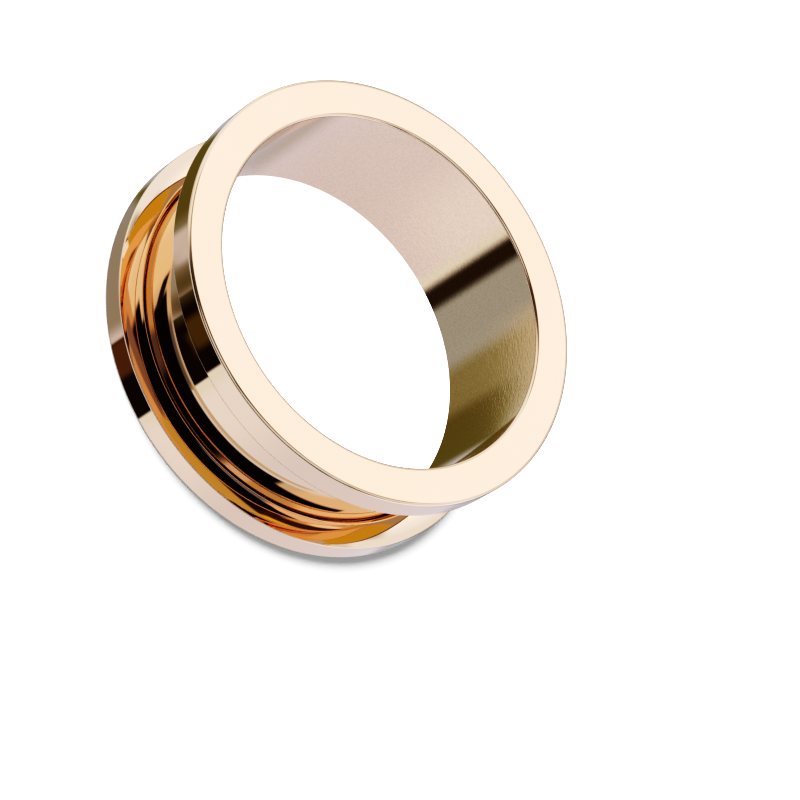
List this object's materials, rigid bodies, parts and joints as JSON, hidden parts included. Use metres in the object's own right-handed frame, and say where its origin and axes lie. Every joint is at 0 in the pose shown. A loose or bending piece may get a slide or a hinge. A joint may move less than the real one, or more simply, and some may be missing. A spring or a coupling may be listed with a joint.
{
  "type": "ear tunnel",
  "caption": "Screw-fit flesh tunnel in polished rose-gold steel: an open flanged tube whose threaded end takes a screw-on back ring.",
  "frame": {"origin": "middle of the back ring's underside, on the tunnel's axis", "axes": "+Z along the tunnel's axis from the back ring up to the front flange; X and Y are any two directions across it"},
  "size_m": [0.029, 0.029, 0.01],
  "materials": {
    "rose_gold_body": "mirror-polished stainless steel with a rose-gold vapour coating, bare steel on the thread",
    "rose_gold_ring": "mirror-polished stainless steel with a rose-gold vapour coating"
  },
  "bodies": {
    "ring": {"back_ring": "rose_gold_ring"},
    "tunnel": {"tunnel_body": "rose_gold_body"}
  },
  "joints": [
    {"name": "unscrew_lift", "type": "slide", "parent": "ring", "child": "tunnel", "axis": [0, 0, 1], "range_m": [0, 0.0048]}
  ]
}
